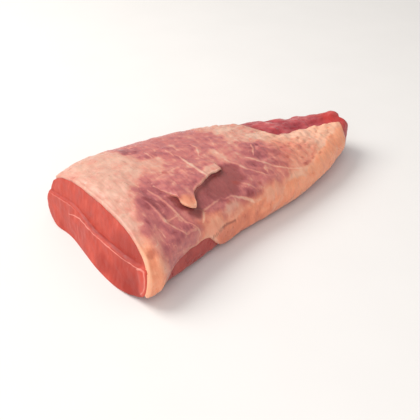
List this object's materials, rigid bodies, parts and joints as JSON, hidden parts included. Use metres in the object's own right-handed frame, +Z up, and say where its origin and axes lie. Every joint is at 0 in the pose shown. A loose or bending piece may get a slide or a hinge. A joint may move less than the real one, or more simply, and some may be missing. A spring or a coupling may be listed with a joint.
{
  "type": "raw tri-tip",
  "caption": "Raw tri-tip of beef: a tapering wedge of lean with a cut end face, under a thin cap of fat and silverskin with a torn flap and a bare ridge at the tip.",
  "frame": {"origin": "middle of the bounding box, on the surface the meat rests on", "axes": "+X along the length from the cut face to the tip, +Y from the front edge to the back edge, +Z up"},
  "size_m": [0.266, 0.1462, 0.0496],
  "materials": {
    "lean": "moist raw lean beef",
    "fat": "moist raw fat and silverskin"
  },
  "bodies": {
    "root": {"lean_muscle": "lean", "fat_cap": "fat"}
  },
  "joints": []
}
